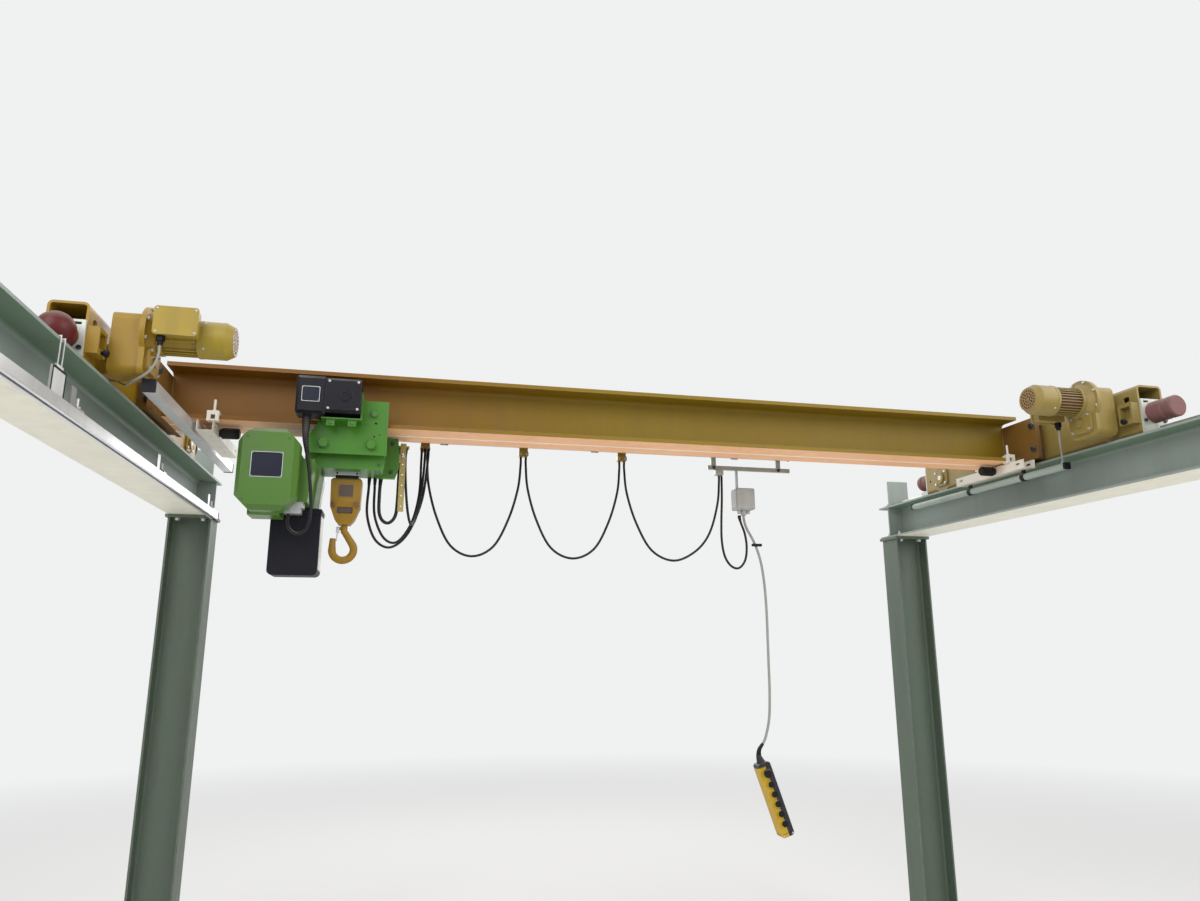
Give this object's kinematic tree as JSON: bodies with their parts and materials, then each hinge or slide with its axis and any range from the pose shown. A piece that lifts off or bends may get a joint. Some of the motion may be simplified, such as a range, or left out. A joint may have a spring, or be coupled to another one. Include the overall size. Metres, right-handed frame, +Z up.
{
  "type": "single-girder overhead bridge crane on a four-column runway frame",
  "caption": "Single-girder overhead travelling crane with electric chain hoist, festoon cable and pendant control, on H-section runways and columns.",
  "frame": {"origin": "on the floor, at the middle of the four columns", "axes": "+X along the bridge girder to the right as pictured, +Y along the runways away from the camera, +Z up"},
  "size_m": [4.3, 6.118, 2.692],
  "materials": {
    "green_paint": "satin paint over rolled steel",
    "rail_steel": "worn bright",
    "ochre_paint": "satin paint",
    "orange_paint": "satin paint",
    "yellow_paint": "semi-gloss paint",
    "lime_paint": "semi-gloss paint",
    "hook_paint": "semi-gloss paint",
    "zinc": "galvanised",
    "aluminium": "mill finish",
    "black_paint": "satin paint",
    "black_plastic": "fine grain",
    "grey_plastic": "smooth",
    "red_rubber": "matt",
    "pink_rubber": "matt, dusty",
    "black_rubber": "matt",
    "cable_black": "smooth sheath",
    "cable_grey": "smooth sheath"
  },
  "bodies": {
    "runway_frame": {"columns_left": "green_paint", "columns_right": "green_paint", "runway_left": "green_paint", "runway_right": "green_paint", "crane_rails": "rail_steel", "runway_stops": "green_paint", "supply_rail": "zinc", "supply_hangers": "black_paint", "hanging_plate": "grey_plastic"},
    "bridge": {"girder": "ochre_paint", "girder_end_plates": "orange_paint", "end_carriages": "yellow_paint", "crane_wheels": "rail_steel", "wheel_hubs": "yellow_paint", "buffer_plates": "zinc", "buffers_left": "red_rubber", "buffers_right": "pink_rubber", "gear_cases": "yellow_paint", "travel_motors": "yellow_paint", "fan_cowls": "yellow_paint", "terminal_boxes": "yellow_paint", "drive_glands": "black_plastic", "drive_cable_left": "cable_grey", "drive_cable_right": "cable_grey", "duct_fittings": "black_plastic", "pendant_buttons": "black_plastic", "cable_duct_left": "aluminium", "conduit_right": "grey_plastic", "trolley_stops": "zinc", "stop_buffers": "black_rubber", "festoon_rail": "zinc", "festoon_arms": "zinc", "pendant_bar": "zinc", "junction_box": "grey_plastic", "pendant_control": "yellow_paint", "pendant_cable": "cable_grey", "festoon_cable": "cable_black"},
    "festoon_carrier_1": {"carrier_1": "zinc"},
    "festoon_carrier_2": {"carrier_2": "zinc"},
    "festoon_carrier_3": {"carrier_3": "zinc"},
    "trolley": {"trolley_side_plates": "lime_paint", "trolley_frame": "lime_paint", "trolley_wheels": "rail_steel", "trolley_motor": "black_paint", "hoist_body": "lime_paint", "hoist_cover": "lime_paint", "hoist_plug": "aluminium", "chain_container": "black_plastic", "chain_guide": "zinc", "tow_arm": "hook_paint", "tow_cable": "cable_black", "tow_cable_2": "cable_black", "hoist_lead": "cable_black", "chain": "zinc"},
    "lower_block": {"hook_block": "hook_paint", "block_bumper": "black_rubber"},
    "swivel_hook": {"hook": "hook_paint"},
    "hook_latch": {"latch": "zinc"}
  },
  "joints": [
    {"name": "crane_travel", "type": "slide", "parent": "runway_frame", "child": "bridge", "axis": [0, 1, 0], "range_m": [-3.865, 0.255]},
    {"name": "trolley_travel", "type": "slide", "parent": "bridge", "child": "trolley", "axis": [1, 0, 0], "range_m": [-0.25, 1.2]},
    {"name": "hook_lift", "type": "slide", "parent": "trolley", "child": "lower_block", "axis": [0, 0, -1], "range_m": [0, 1.72], "deforming": ["chain"]},
    {"name": "hook_swivel", "type": "hinge", "parent": "lower_block", "child": "swivel_hook", "pos_m": [-1.19, 1.805, 2.05], "axis": [0, 0, 1], "continuous": true},
    {"name": "latch_pivot", "type": "hinge", "parent": "swivel_hook", "child": "hook_latch", "pos_m": [-1.214, 1.805, 2.057], "axis": [0, 1, 0], "range_deg": [-26, 0], "stiffness_Nm_per_rad": 0.1, "springref_deg": 8.59},
    {"name": "carrier_1_travel", "type": "slide", "parent": "bridge", "child": "festoon_carrier_1", "axis": [1, 0, 0], "range_m": [-0.2354, 1.126]},
    {"name": "carrier_2_travel", "type": "slide", "parent": "bridge", "child": "festoon_carrier_2", "axis": [1, 0, 0], "range_m": [-0.1608, 0.7679]},
    {"name": "carrier_3_travel", "type": "slide", "parent": "bridge", "child": "festoon_carrier_3", "axis": [1, 0, 0], "range_m": [-0.0823, 0.3914]}
  ],
  "couplings": [
    {"joint": "carrier_1_travel", "follows": "trolley_travel", "ratio": 0.9375},
    {"joint": "carrier_2_travel", "follows": "trolley_travel", "ratio": 0.6391},
    {"joint": "carrier_3_travel", "follows": "trolley_travel", "ratio": 0.3253}
  ]
}
